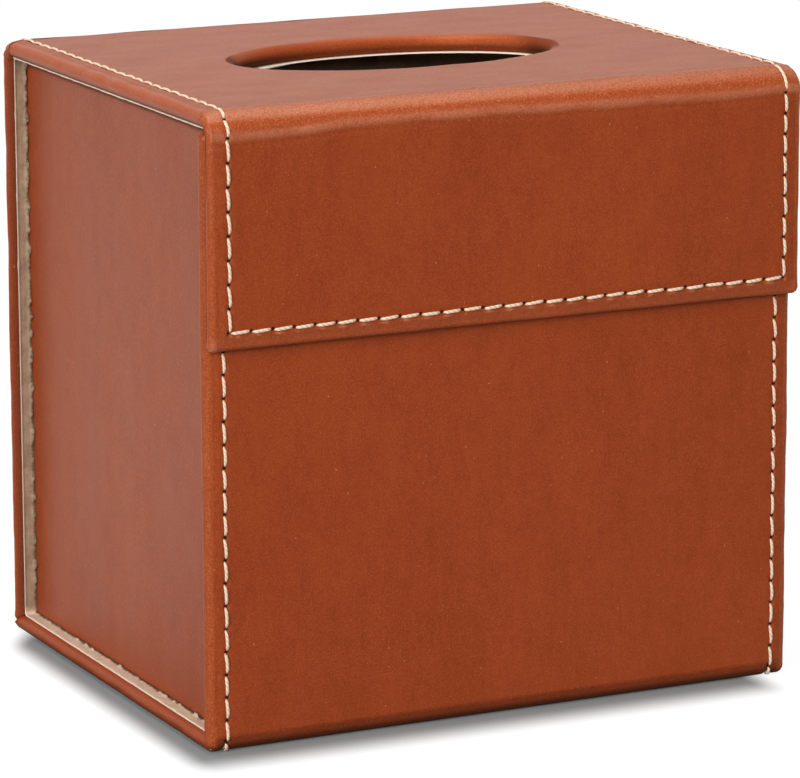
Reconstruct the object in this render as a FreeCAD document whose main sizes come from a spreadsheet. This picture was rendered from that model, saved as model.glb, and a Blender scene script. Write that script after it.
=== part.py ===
"""Leather-covered tissue box: a box of greyboard panels, whose front, base, back, lid and flap are one
leather band with turned edges, lined with suede and saddle-stitched in cream thread.

Frame: X is the width, the flap faces -Y, Z is up. The origin is the middle of the underside.
Every panel is laid up in the same four layers, counted from its outer face: leather, board, the
leather turned in over the board's edges, and the suede lining.
"""

import FreeCAD, Part
import math
import os
import re

import Sketcher
from FreeCAD import Placement, Rotation, Vector

doc = FreeCAD.newDocument("tissue_box")

# ------------------------------------------------------------------ the driving sizes, in millimetres

SIZES = (
    ("width", 152.0, "width of the leather band, edge to edge"),
    ("depth", 126.0, "flap's outer face to the back's outer face"),
    ("height", 148.5, "table to the lid's outer face"),
    ("leather", 0.8, "thickness of the leather"),
    ("board", 2.2, "thickness of the greyboard panels"),
    ("flap_board", 1.4, "thickness of the flap's lighter board"),
    ("turned", 0.6, "thickness of the leather where it is skived and turned in"),
    ("lining", 0.5, "thickness of the suede lining"),
    ("turn_width", 9.0, "width of leather turned in behind an edge"),
    ("lining_inset", 1.7, "how far the lining's cut edge stays inside a turned edge"),
    ("edge_roll", 1.6, "radius of a turned edge over the greyboard"),
    ("flap_roll", 1.2, "radius of a turned edge over the flap's board"),
    ("side_recess", 4.8, "how far the side panels stand inside the band's edges"),
    ("side_corner", 2.0, "radius of a side panel's corners, seen from the side"),
    ("flap_drop", 54.0, "lid's outer face down to the flap's lower edge"),
    ("flap_gap", 0.45, "air between the flap's lining and the front's leather"),
    ("lid_gap", 0.4, "air between the lid's lining and the walls' top edges"),
    ("front_fold", 5.6, "outer radius of the fold from lid to flap"),
    ("back_fold", 5.0, "outer radius of the fold from back to lid"),
    ("base_fold", 3.0, "outer radius of the fold from front to base"),
    ("heel_fold", 2.2, "outer radius of the fold from base to back"),
    ("oval_length", 81.0, "clear length of the oval opening, along X"),
    ("oval_width", 45.0, "clear width of the oval opening, along Y"),
    ("oval_tip", 15.5, "radius of the oval's two ends"),
    ("oval_bevel", 1.1, "bevel of the lid board's rim, under the rolled leather"),
    ("oval_roll", 2.4, "radius of the leather rolled over the oval's rim"),
    ("oval_under_bevel", 0.6, "bevel of the oval's rim on the underside"),
    ("oval_lip", 0.8, "how far the lining reaches into the oval"),
    ("magnet_length", 18.0, "length of a flap magnet"),
    ("magnet_width", 8.0, "width of a flap magnet"),
    ("magnet_height", 1.0, "thickness of a flap magnet"),
    ("plate_length", 22.0, "length of a steel catch plate in the front"),
    ("plate_width", 12.0, "width of a steel catch plate"),
    ("plate_height", 0.8, "thickness of a steel catch plate"),
    ("magnet_span", 96.0, "distance between the two magnets"),
    ("magnet_rise", 13.0, "flap's lower edge up to the magnets' middle"),
    ("pocket_slack", 0.1, "play of a magnet or plate in its pocket, all round and in depth"),
    ("stitch_pitch", 5.3, "distance from one needle hole to the next"),
    ("left_pitch", 5.8, "the same down the flap's left edge, where the seam runs longer"),
    ("right_pitch", 4.9, "the same down the flap's right edge"),
    ("stitch_length", 4.4, "length of a stitch between its needle holes"),
    ("thread", 0.7, "width of the thread on the leather"),
    ("thread_rise", 0.3, "how far a stitch stands above the leather"),
    ("seam_margin", 4.55, "seam to the turned edge"),
    ("seam_slant", 5.0, "angle of each stitch to its seam, in degrees"),
    ("channel_slack", 0.15, "play of the thread in the channel under the base"),
)

sheet = doc.addObject("Spreadsheet::Sheet", "sizes")
for row, (alias, value, meaning) in enumerate(SIZES, start=1):
    sheet.set(f"A{row}", meaning)
    sheet.set(f"B{row}", str(value))
    sheet.setAlias(f"B{row}", alias)
doc.recompute()

# Planes and thicknesses that follow from the sizes. Each is a formula over the names above it.
DERIVED = (
    ("edge", "width / 2"),
    ("wall", "leather + board + turned + lining"),
    ("shell", "leather + board + turned"),
    ("flap_shell", "leather + flap_board + turned"),
    ("back_face", "depth / 2"),
    ("flap_face", "-depth / 2"),
    ("front_face", "flap_face + flap_shell + lining + flap_gap"),
    ("side_face", "edge - side_recess"),
    ("walls_top", "height - wall - lid_gap"),
    ("back_top", "height - back_fold"),
    ("lid_front", "flap_face + front_fold"),
    ("lid_back", "back_face - back_fold"),
    ("flap_top", "height - front_fold"),
    ("flap_foot", "height - flap_drop"),
    ("seam", "edge - seam_margin"),
    ("magnet_level", "flap_foot + magnet_rise"),
    ("oval_tip_place", "oval_length / 2 - oval_tip"),
    ("oval_flank", "(oval_tip_place ^ 2 + (oval_width / 2) ^ 2 - oval_tip ^ 2) / (oval_width - 2 * oval_tip)"),
)
NAMES = {alias for alias, _, _ in SIZES}
FORMULAS = dict(DERIVED)
WORD = re.compile(r"\b[a-z_]+\b")


def spelled_out(formula):
    """Turns a formula over sizes and derived names into one over the sheet's cells alone."""

    def cell(match):
        word = match.group(0)
        if word in NAMES:
            return "sizes." + word
        return "(" + spelled_out(FORMULAS[word]) + ")"

    return WORD.sub(cell, formula)


def bind(feature, prop, formula):
    """Ties one property of a feature to a formula over the sizes."""
    feature.setExpression(prop, spelled_out(formula))


def size(formula):
    """The present value of a formula, for shapes that are worked out here and not by a feature."""
    bind(gauge, "Length", f"{GAUGE_START} + ({formula})")
    gauge.recompute()
    return gauge.Length.Value - GAUGE_START


GAUGE_START = 1000  # keeps the gauge's length positive for planes left of or below the origin
gauge = doc.addObject("Part::Box", "gauge")



# ------------------------------------------------------------------------------ building operations

def block(name, x, y, z):
    """A box between three pairs of planes, each plane a formula."""
    box = doc.addObject("Part::Box", name)
    for prop, axis, (low, high) in zip(("Length", "Width", "Height"), "xyz", (x, y, z)):
        bind(box, prop, f"({high}) - ({low})")
        bind(box, f"Placement.Base.{axis}", low)
    return box


def quarter(name, radius, x, y, z, turn):
    """A quarter of a cylinder along X, from x[0] to x[1], about the line at y, z.
    turn is the angle about +X from +Y to where the quarter starts."""
    rod = doc.addObject("Part::Cylinder", name)
    rod.Angle = 90
    rod.Placement = Placement(Vector(), Rotation(Vector(1, 0, 0), turn) * AXIS_ALONG_X)
    bind(rod, "Radius", radius)
    bind(rod, "Height", f"({x[1]}) - ({x[0]})")
    bind(rod, "Placement.Base.x", x[0])
    bind(rod, "Placement.Base.y", y)
    bind(rod, "Placement.Base.z", z)
    return rod


AXIS_ALONG_X = Rotation(Vector(0, 1, 0), Vector(0, 0, 1), Vector(1, 0, 0), "ZXY")


def cut(name, base, *tools):
    """base with each tool taken away."""
    for number, tool in enumerate(tools, start=1):
        result = doc.addObject("Part::Cut", name if number == len(tools) else f"{name}_cut{number}")
        result.Base = base
        result.Tool = tool
        base = result
    return base


def joined(name, *pieces):
    """The pieces as one solid."""
    result = doc.addObject("Part::MultiFuse", name)
    result.Shapes = list(pieces)
    result.Refine = True
    return result


def rounded(name, base, *rounds, kind="Part::Fillet"):
    """base with rounded or bevelled edges. Each round is a test that picks edges and a radius formula."""
    doc.recompute()
    result = doc.addObject(kind, name)
    result.Base = base
    picked = []
    for number, edge in enumerate(base.Shape.Edges, start=1):
        for test, radius in rounds:
            if test(edge):
                value = size(radius)
                picked.append((number, value, value))
                break
    result.Edges = picked
    return result


def lies_at(**planes):
    """A test for edges that lie wholly in the given planes, such as x=("edge", "-edge")."""
    wanted = {axis: [size(formula) for formula in formulas] for axis, formulas in planes.items()}

    def test(edge):
        box = edge.BoundBox
        for axis, places in wanted.items():
            low = getattr(box, axis.upper() + "Min")
            high = getattr(box, axis.upper() + "Max")
            if not any(abs(low - place) < TOUCH and abs(high - place) < TOUCH for place in places):
                return False
        return True

    return test


TOUCH = 1e-4
nodes = {}


def node(name, feature):
    """Names a finished sub-part."""
    feature.Label = name
    nodes[name] = feature
    return feature


def inside(span, low, high=None):
    """A span with its ends moved inwards by the formulas low and high."""
    return (f"{span[0]} + ({low})", f"{span[1]} - ({high or low})")


def layer(face, inward, start, end):
    """The span of a layer that lies between two depths behind a panel's outer face."""
    if inward > 0:
        return (f"{face} + ({start})", f"{face} + ({end})")
    return (f"{face} - ({end})", f"{face} - ({start})")


ACROSS = ("-edge", "edge")
LINED_ACROSS = inside(ACROSS, "lining_inset")
BOARD_ACROSS = inside(ACROSS, "leather")
WINDOW_ACROSS = inside(ACROSS, "turn_width")
UNDER_BOARD = "leather + board"

# ------------------------------------------------------------------------ the box: front, base, back


def bar_pair(name, length, width, face, depth, height):
    """Two flat bars that lie along X behind the face at Y = face, magnet_span apart."""
    bars = []
    for side, word in ((-1, "left"), (1, "right")):
        middle = f"{side} * magnet_span / 2"
        across = (f"{middle} - ({length}) / 2", f"{middle} + ({length}) / 2")
        upright = (f"magnet_level - ({width}) / 2", f"magnet_level + ({width}) / 2")
        bars.append(block(f"{name}_{word}", across, layer(face, 1, depth, f"{depth} + {height}"), upright))
    return bars


def both(name, pair):
    """Two separate solids as one node."""
    group = doc.addObject("Part::Compound", name)
    group.Links = pair
    return group


base_across_y = ("front_face + shell", "back_face - shell")
base_board = block(
    "base_panel",
    BOARD_ACROSS,
    ("front_face + leather + board", "back_face - (leather + board)"),
    ("leather", UNDER_BOARD),
)
node("base_board", base_board)


def wall_panel(name, face, inward, bend, top, top_turned):
    """Rolled leather blank, board, window and lining pieces of the front or the back.
    The blank is a wall on a toe, and the toe carries the bend that leads under the base."""
    leather_y = layer(face, inward, "0", "shell")
    board_y = layer(face, inward, "leather", UNDER_BOARD)
    window_y = layer(face, inward, UNDER_BOARD, "shell")
    lining_y = layer(face, inward, "shell", "wall")
    board_top = f"{top} - leather" if top_turned else top
    window_top = f"{top} - turn_width" if top_turned else top
    lining_top = f"{top} - lining_inset" if top_turned else top
    upright = [(lies_at(x=ACROSS, y=leather_y), "edge_roll")]
    if top_turned:
        upright.append((lies_at(z=(top,)), "edge_roll"))
    wall = rounded(f"{name}_wall_rolled", block(f"{name}_wall", ACROSS, leather_y, ("shell", top)), *upright)
    toe = rounded(
        f"{name}_toe_rolled",
        block(f"{name}_toe", ACROSS, leather_y, ("0", "shell")),
        (lies_at(y=(face,), z=("0",)), bend),
        (lies_at(x=ACROSS, y=(face,)), "edge_roll"),
        (lies_at(x=ACROSS, z=("0",)), "edge_roll"),
    )
    blank = joined(f"{name}_rolled", wall, toe)
    panel = block(f"{name}_panel", BOARD_ACROSS, board_y, ("leather", board_top))
    window = block(f"{name}_window", WINDOW_ACROSS, window_y, (UNDER_BOARD, window_top))
    sheets = (
        block(f"{name}_suede", LINED_ACROSS, lining_y, ("shell", lining_top)),
        block(f"{name}_filler", WINDOW_ACROSS, window_y, (UNDER_BOARD, window_top)),
    )
    return blank, panel, window, sheets


front_rolled, front_panel, front_window, front_suede = wall_panel(
    "front", "front_face", 1, "base_fold", "walls_top", True
)
node("front_leather", cut("front_cover", front_rolled, front_panel, base_board, front_window))
plate_pockets = bar_pair(
    "plate_pocket", "plate_length + 2 * pocket_slack", "plate_width + 2 * pocket_slack",
    "front_face", "leather", "plate_height + pocket_slack",
)
plates = bar_pair(
    "plate", "plate_length", "plate_width", "front_face", "leather + pocket_slack", "plate_height"
)
node("front_board", cut("front_pocketed", front_panel, *plate_pockets))
node("catch_plates", both("catch_plate_pair", plates))

back_rolled, back_panel, back_window, back_suede = wall_panel(
    "back", "back_face", -1, "heel_fold", "back_top", False
)
node("back_leather", cut("back_cover", back_rolled, back_panel, base_board, back_window))
node("back_board", back_panel)

base_blank = block("base_blank", ACROSS, base_across_y, ("0", "shell"))
base_rolled = rounded(
    "base_rolled", base_blank, (lies_at(x=ACROSS, z=("0", "shell")), "edge_roll")
)
base_window = block("base_window", WINDOW_ACROSS, base_across_y, (UNDER_BOARD, "shell"))
channels = [
    block(
        f"channel_{name}",
        (f"{side} * seam - (thread / 2 + channel_slack)", f"{side} * seam + thread / 2 + channel_slack"),
        base_across_y,
        ("0", "thread_rise + channel_slack"),
    )
    for name, side in (("left", -1), ("right", 1))
]
node("base_leather", cut("base_cover", base_rolled, base_board, base_window, *channels))

base_suede = (
    block("base_suede", LINED_ACROSS, base_across_y, ("shell", "wall")),
    block("base_filler", WINDOW_ACROSS, base_across_y, (UNDER_BOARD, "shell")),
)
node("case_lining", joined("case_suede", *front_suede, *base_suede, *back_suede))

# ---------------------------------------------------------------------------- the two side panels

side_y = ("front_face + wall", "back_face - wall")
side_z = ("wall", "walls_top")


def side_layer(name, start, end, margin):
    """One layer of the left side panel, a margin inside the panel's four edges."""
    return block(name, layer("-side_face", 1, start, end), inside(side_y, margin), inside(side_z, margin))


side_blank = side_layer("side_blank", "0", "shell", "0")
side_rolled = rounded(
    "side_rolled",
    side_blank,
    (lies_at(x=("-side_face",)), "edge_roll"),
    (lies_at(y=side_y, z=side_z), "side_corner"),
)
side_panel = side_layer("side_panel", "leather", UNDER_BOARD, "leather")
side_window = side_layer("side_window", UNDER_BOARD, "shell", "turn_width")
side_cover = cut("side_cover", side_rolled, side_panel, side_window)
side_suede = joined("side_suede", side_layer("side_sheet", "shell", "wall", "lining_inset"), side_window)
for name, feature in (("board", side_panel), ("leather", side_cover), ("lining", side_suede)):
    node(f"left_side_{name}", feature)
    opposite = doc.addObject("Part::Mirroring", f"right_{feature.Name}")
    opposite.Source = feature
    opposite.Normal = Vector(1, 0, 0)
    node(f"right_side_{name}", opposite)

# ---------------------------------------------------------------------------------------- the lid

lid_y = ("lid_front", "lid_back")
lid_outside = layer("height", -1, "0", "shell")
lid_board_z = layer("height", -1, "leather", UNDER_BOARD)
lid_window_z = layer("height", -1, UNDER_BOARD, "shell")
lid_lining_z = layer("height", -1, "shell", "wall")


def oval_outline(name, grow):
    """The oval as four tangent arcs: a tip on the right, a flank above, a tip on the left, a flank below.
    Growing it keeps the arcs' centres, so outlines of one oval stay a constant distance apart."""
    outline = doc.addObject("Sketcher::SketchObject", name)
    place, tip, flank = size("oval_tip_place"), size("oval_tip"), size("oval_flank")
    drop = flank - size("oval_width") / 2
    lean = math.atan2(drop, place)
    wider = size(grow)
    arcs = (
        (place, 0, tip, -lean, lean),
        (0, -drop, flank, lean, math.pi - lean),
        (-place, 0, tip, math.pi - lean, math.pi + lean),
        (0, drop, flank, math.pi + lean, 2 * math.pi - lean),
    )
    for x, y, radius, start, end in arcs:
        circle = Part.Circle(Vector(x, y, 0), Vector(0, 0, 1), radius + wider)
        outline.addGeometry(Part.ArcOfCircle(circle, start, end), False)
    right, above, left, below = range(4)
    x_axis, y_axis, start, end, centre = -1, -2, 1, 2, 3
    outline.addConstraint(
        [
            Sketcher.Constraint("Radius", right, tip + wider),
            Sketcher.Constraint("Radius", above, flank + wider),
            Sketcher.Constraint("DistanceX", x_axis, start, right, centre, place),
            Sketcher.Constraint("Symmetric", right, start, right, end, x_axis),
            Sketcher.Constraint("Tangent", right, end, above, start),
            Sketcher.Constraint("Symmetric", above, start, above, end, y_axis),
            Sketcher.Constraint("Coincident", below, end, right, start),
            Sketcher.Constraint("Symmetric", below, start, above, end, x_axis),
            Sketcher.Constraint("Equal", below, above),
            Sketcher.Constraint("Coincident", left, start, above, end),
            Sketcher.Constraint("Coincident", left, end, below, start),
            Sketcher.Constraint("Equal", left, right),
        ]
    )
    bind(outline, "Constraints[0]", f"oval_tip + ({grow})")
    bind(outline, "Constraints[1]", f"oval_flank + ({grow})")
    bind(outline, "Constraints[2]", "oval_tip_place")
    return outline


def oval_post(name, grow, z):
    """An upright post of the oval's outline, wider than the clear opening by grow on every side."""
    post = doc.addObject("Part::Extrusion", name)
    post.Base = oval_outline(f"{name}_outline", grow)
    post.DirMode = "Custom"
    post.Dir = Vector(0, 0, 1)
    post.Solid = True
    bind(post.Base, "Placement.Base.z", z[0])
    bind(post, "LengthFwd", f"({z[1]}) - ({z[0]})")
    return post


def is_oval(edge):
    """True for the arcs round the oval opening."""
    return isinstance(edge.Curve, Part.Circle)


lid_blank = cut(
    "lid_blank_open",
    block("lid_blank", ACROSS, lid_y, lid_outside),
    oval_post("lid_blank_oval", "0", lid_outside),
)
doc.recompute()
on_top = lies_at(z=("height",))
on_underside = lies_at(z=("height - shell",))
lid_bevelled = rounded(
    "lid_bevelled",
    lid_blank,
    (lambda edge: is_oval(edge) and on_underside(edge), "oval_under_bevel"),
    kind="Part::Chamfer",
)
lid_rolled = rounded(
    "lid_rolled",
    lid_bevelled,
    (lambda edge: is_oval(edge) and on_top(edge), "oval_roll"),
    (lies_at(x=ACROSS, z=("height", "height - shell")), "edge_roll"),
)
lid_panel_open = cut(
    "lid_panel_open",
    block("lid_panel", BOARD_ACROSS, lid_y, lid_board_z),
    oval_post("lid_panel_oval", "leather", lid_board_z),
)
doc.recompute()
lid_panel_top = lies_at(z=("height - leather",))
lid_panel = rounded(
    "lid_panel_rimmed",
    lid_panel_open,
    (lambda edge: is_oval(edge) and lid_panel_top(edge), "oval_bevel"),
    kind="Part::Chamfer",
)
lid_window = cut(
    "lid_window",
    block("lid_window_block", WINDOW_ACROSS, lid_y, lid_window_z),
    oval_post("lid_window_oval", "turn_width", lid_window_z),
)
lid_sheet = cut(
    "lid_sheet",
    block("lid_sheet_block", LINED_ACROSS, lid_y, lid_lining_z),
    oval_post("lid_sheet_oval", "-oval_lip", lid_lining_z),
)
node("lid_board", lid_panel)
node("lid_leather", cut("lid_cover", lid_rolled, lid_panel, lid_window))
node("lid_lining", joined("lid_suede", lid_sheet, lid_window))

# --------------------------------------------------------------------------------------- the flap

FLAP_UNDER_BOARD = "leather + flap_board"
flap_z = ("flap_foot", "flap_top")


def flap_layer(name, start, end, margin, x_margin=None):
    """One layer of the flap, a margin inside its turned foot and sides."""
    return block(
        name,
        inside(ACROSS, x_margin or margin),
        layer("flap_face", 1, start, end),
        (f"flap_foot + ({margin})", "flap_top"),
    )


flap_blank = flap_layer("flap_blank", "0", "flap_shell", "0")
flap_rolled = rounded(
    "flap_rolled",
    flap_blank,
    (lies_at(x=ACROSS, y=("flap_face", "flap_face + flap_shell")), "flap_roll"),
    (lies_at(z=("flap_foot",)), "flap_roll"),
)
flap_panel = flap_layer("flap_panel", "leather", FLAP_UNDER_BOARD, "leather")
flap_window = flap_layer("flap_window", FLAP_UNDER_BOARD, "flap_shell", "turn_width")
magnet_depth = "leather + flap_board - magnet_height"
magnet_pockets = bar_pair(
    "magnet_pocket", "magnet_length + 2 * pocket_slack", "magnet_width + 2 * pocket_slack",
    "flap_face", f"{magnet_depth} - pocket_slack", "magnet_height + pocket_slack",
)
magnets = bar_pair("magnet", "magnet_length", "magnet_width", "flap_face", magnet_depth, "magnet_height")
node("flap_board", cut("flap_pocketed", flap_panel, *magnet_pockets))
node("flap_magnets", both("flap_magnet_pair", magnets))
node("flap_leather", cut("flap_cover", flap_rolled, flap_panel, flap_window))
node(
    "flap_lining",
    joined(
        "flap_suede",
        flap_layer("flap_sheet", "flap_shell", "flap_shell + lining", "lining_inset"),
        flap_layer("flap_filler", FLAP_UNDER_BOARD, "flap_shell", "turn_width"),
    ),
)

# ----------------------------------------------------------------------------- the two leather hinges


def fold(name, radius, board, roll, y, z, turn):
    """The bend of the band between two panels: a quarter ring with the panels' own cross-section.
    Between the boards the leather is hollow and only its turned edges stand at full thickness."""
    depths = ("0", "leather", f"leather + {board}", f"leather + {board} + turned")

    def ring(part, outer, inner, x):
        return cut(
            f"{name}_{part}",
            quarter(f"{name}_{part}_outer", f"{radius} - ({outer})", x, y, z, turn),
            quarter(f"{name}_{part}_inner", f"{radius} - ({inner})", x, y, z, turn),
        )

    at_side = lies_at(x=ACROSS)

    def side_arc(of_radius):
        return lambda edge: (
            at_side(edge) and isinstance(edge.Curve, Part.Circle)
            and abs(edge.Curve.Radius - size(of_radius)) < TOUCH
        )

    blank = ring("blank", depths[0], depths[3], ACROSS)
    bevelled = rounded(
        f"{name}_bevelled", blank, (side_arc(f"{radius} - ({depths[3]})"), "turned"), kind="Part::Chamfer"
    )
    rolled = rounded(f"{name}_rolled", bevelled, (side_arc(radius), roll))
    hollow = ring("hollow", depths[1], depths[2], BOARD_ACROSS)
    window = ring("window", depths[2], depths[3], WINDOW_ACROSS)
    node(f"{name}_leather", cut(f"{name}_cover", rolled, hollow, window))
    node(f"{name}_lining", ring("suede", depths[3], f"{depths[3]} + lining", LINED_ACROSS))


fold("lid_hinge", "back_fold", "board", "edge_roll", "lid_back", "back_top", 0)
fold("flap_hinge", "front_fold", "flap_board", "flap_roll", "lid_front", "flap_top", 90)

# -------------------------------------------------------------------------------------- the seams


def stitch(slant):
    """One stitch on the plane Z = 0, along X: a bar whose ends slope down to the needle holes."""
    half = size("stitch_length") / 2
    rise = size("thread_rise")
    wide = size("thread")
    side = -wide / 2
    corners = (
        Vector(-half, side, 0), Vector(half, side, 0), Vector(half - rise, side, rise),
        Vector(rise - half, side, rise), Vector(-half, side, 0),
    )
    bar = Part.Face(Part.makePolygon(corners)).extrude(Vector(0, wide, 0))
    bar.rotate(Vector(), Vector(0, 0, 1), slant)
    return bar


def seam(start, end, outward, pitch="stitch_pitch", slant=None):
    """A row of stitches from start to end on a face whose outward normal is given.
    The pitch is fitted to the row's length, so that a needle hole lies at each end."""
    first = Vector(*(size(formula) for formula in start))
    along = Vector(*(size(formula) for formula in end)) - first
    count = max(1, round(along.Length / size(pitch)))
    course = Vector(along).normalize()
    turned = Rotation(course, outward.cross(course), outward, "ZXY")
    sample = stitch(size("seam_slant") if slant is None else slant)
    stitches = []
    for number in range(count):
        bar = sample.copy()
        bar.Placement = Placement(first + along * ((number + 0.5) / count), turned) * bar.Placement
        stitches.append(bar)
    return stitches


def over_fold(radius, y, z, turn):
    """The two stitches that each seam takes round a fold, as bars bent about the fold's own line."""
    outer = size(radius)
    rise = size("thread_rise")
    wide = size("thread")
    swing = math.degrees(size("stitch_length") / outer)
    gap = (90 - 2 * swing) / 4
    centre = Vector(0, size(y), size(z))
    bars = []
    for side in (-1, 1):
        x = side * size("seam") - wide / 2
        for start in (gap, 45 + gap):
            reach = Rotation(Vector(1, 0, 0), turn + start).multVec(Vector(0, 1, 0))
            low = centre + reach * outer
            high = centre + reach * (outer + rise)
            low.x = high.x = x
            flat = Part.makePolygon(
                (low, high, high + Vector(wide, 0, 0), low + Vector(wide, 0, 0), low)
            )
            bars.append(Part.Face(flat).revolve(centre, Vector(1, 0, 0), swing))
    return bars


def thread_node(name, bars):
    """The separate stitches of a seam as one node."""
    feature = doc.addObject("Part::Feature", name)
    feature.Shape = Part.makeCompound(bars)
    feature.Placement = Placement()
    return node(name, feature)


FORWARD, BACKWARD = Vector(0, -1, 0), Vector(0, 1, 0)
UPWARD, DOWNWARD = Vector(0, 0, 1), Vector(0, 0, -1)
CHANNEL = "thread_rise + channel_slack"
rows = {"front": [], "base": [], "back": [], "lid": [], "flap": []}
for side, flap_pitch in (("-seam", "left_pitch"), ("seam", "right_pitch")):
    rows["front"] += seam(
        (side, "front_face", "base_fold"), (side, "front_face", "walls_top - edge_roll"), FORWARD
    )
    rows["base"] += seam(
        (side, base_across_y[0], CHANNEL), (side, base_across_y[1], CHANNEL), DOWNWARD, slant=0
    )
    rows["back"] += seam((side, "back_face", "heel_fold"), (side, "back_face", "back_top"), BACKWARD)
    rows["lid"] += seam((side, "lid_front", "height"), (side, "lid_back", "height"), UPWARD)
    rows["flap"] += seam(
        (side, "flap_face", "flap_foot + seam_margin"), (side, "flap_face", "flap_top"), FORWARD, flap_pitch
    )
rows["flap"] += seam(
    ("-seam", "flap_face", "flap_foot + seam_margin"),
    ("seam", "flap_face", "flap_foot + seam_margin"),
    FORWARD,
)
for name, bars in rows.items():
    thread_node(f"{name}_stitching", bars)
thread_node("lid_hinge_stitching", over_fold("back_fold", "lid_back", "back_top", 0))
thread_node("flap_hinge_stitching", over_fold("front_fold", "lid_front", "flap_top", 90))

# -------------------------------------------------------------------------------- checks and export

doc.recompute()
for feature in doc.Objects:
    if "Invalid" in feature.State or "Error" in feature.State:
        raise RuntimeError(f"{feature.Name} failed: {feature.State}")
os.makedirs("parts", exist_ok=True)
for name, feature in nodes.items():
    shape = feature.Shape
    if shape.isNull() or not shape.isValid() or not shape.Solids:
        raise RuntimeError(f"{name} has no valid solid")
    shape.exportStep(f"parts/{name}.step")
    print(f"{name}: {len(shape.Solids)} solids, {shape.Volume:.1f} mm3, {len(shape.Faces)} faces")
print(f"{len(nodes)} nodes")
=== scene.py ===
"""Looks of a leather tissue box with a hinged lid and a front flap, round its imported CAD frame.

Lengths are in millimetres until a mesh is made. A panel is worked out flat, as a place u across the
box, a place s along the band of leather and a height above the face, and is then laid on its course.
"""

import bpy
import numpy as np
from mathutils import Euler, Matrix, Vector


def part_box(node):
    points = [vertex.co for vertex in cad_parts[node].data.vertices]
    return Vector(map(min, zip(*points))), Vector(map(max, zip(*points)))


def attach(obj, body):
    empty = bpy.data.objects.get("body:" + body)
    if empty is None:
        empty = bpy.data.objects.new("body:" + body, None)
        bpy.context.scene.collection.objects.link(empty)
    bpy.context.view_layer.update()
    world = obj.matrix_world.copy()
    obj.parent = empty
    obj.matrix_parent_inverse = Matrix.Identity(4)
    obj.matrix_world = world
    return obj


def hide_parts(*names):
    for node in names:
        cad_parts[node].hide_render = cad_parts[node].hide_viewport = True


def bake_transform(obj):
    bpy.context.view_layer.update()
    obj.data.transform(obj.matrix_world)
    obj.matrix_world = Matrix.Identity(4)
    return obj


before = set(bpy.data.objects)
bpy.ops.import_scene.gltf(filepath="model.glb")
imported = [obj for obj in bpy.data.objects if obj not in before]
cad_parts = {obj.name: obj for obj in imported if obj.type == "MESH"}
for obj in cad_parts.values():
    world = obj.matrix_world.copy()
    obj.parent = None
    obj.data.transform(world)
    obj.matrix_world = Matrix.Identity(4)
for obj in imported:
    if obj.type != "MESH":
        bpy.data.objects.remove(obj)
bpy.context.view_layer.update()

MM = 0.001
TURN = np.pi / 2


def box_mm(node):
    """Lowest and highest corner of a CAD node, in millimetres."""
    low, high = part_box(node)
    return np.array(low) / MM, np.array(high) / MM


front_low, front_high = box_mm("front_leather")
_, back_high = box_mm("back_leather")
lid_low, lid_high = box_mm("lid_leather")
flap_low, flap_high = box_mm("flap_leather")
side_low, side_high = box_mm("left_side_leather")
_, case_lining_high = box_mm("case_lining")
flap_lining_low, _ = box_mm("flap_lining")
side_lining_low, side_lining_high = box_mm("left_side_lining")

EDGE = front_high[0]
FRONT, BACK = front_low[1], back_high[1]
WALLS_TOP, BACK_TOP = front_high[2], back_high[2]
LID_FRONT, LID_BACK, TOP = lid_low[1], lid_high[1], lid_high[2]
FLAP_FACE, FLAP_FOOT = flap_low[1], flap_low[2]
SIDE_FACE = -side_low[0]
SHELL = front_high[1] - front_low[1]
FLAP_SHELL = flap_high[1] - flap_low[1]
LINING = 0.5
IN = SHELL + LINING  # from the leather's face to the lining's
LINED = case_lining_high[0]
SEAM = 71.45  # from the middle to either side seam
FOOT_MARGIN = 4.2  # from the flap's foot to its seam
GAP, THREAD = 0.42, 0.42  # length of a needle hole, half a thread's width
PROUD, SUNK = 0.38, 0.60  # how far a face swells past its rims, how deep the base's threads lie
CORNER = 2.0
EDGE_ROLL, FLAP_ROLL = 1.75, 1.35
BASE_FOLD, HEEL_FOLD = 2.3, 2.2
FRONT_FOLD, BACK_FOLD = LID_FRONT - FLAP_FACE, BACK - LID_BACK
OVAL, OVAL_ROLL = np.array([40.5, 22.5]), 2.4
OVAL_FIELD = 50.0, 31.0  # half sides of the rectangle that is meshed anew round the oval
AWAY = 50.0  # a distance at which no seam shows
ALL = 1e9


# ------------------------------------------------------------------------------ small number tools


def hump(x, width):
    """A smooth bump, exp(-(x / width) squared), which is 1 at 0."""
    return np.exp(-((x / width) ** 2))


def ease(x, low, high):
    """0 below low and 1 above high, with the smooth step 3 t squared - 2 t cubed between."""
    t = np.clip((x - low) / (high - low), 0, 1)
    return t * t * (3 - 2 * t)


def fade(x, low, high):
    """1 below low and 0 above high: 1 - ease."""
    return 1 - ease(x, low, high)


def ripples(x, y, wave, seed, count=9):
    """Unevenness of about -1 to 1: a sum of sine waves in random directions, as long as wave or more."""
    draw = np.random.default_rng(seed)
    heading = draw.uniform(0, 2 * np.pi, count)
    number = 2 * np.pi / (wave * draw.uniform(1.0, 2.6, count))
    start = draw.uniform(0, 2 * np.pi, count)
    total = 0
    for k in range(count):
        total = total + np.sin(number[k] * (x * np.cos(heading[k]) + y * np.sin(heading[k])) + start[k])
    return total / np.sqrt(count)


def spaced(low, high, step):
    """Even places from low to high, at most step apart."""
    return np.linspace(low, high, int(np.ceil((high - low) / step)) + 1)


# ---------------------------------------------------------------------------------------- courses


ARC_STEP = 0.05


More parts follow.
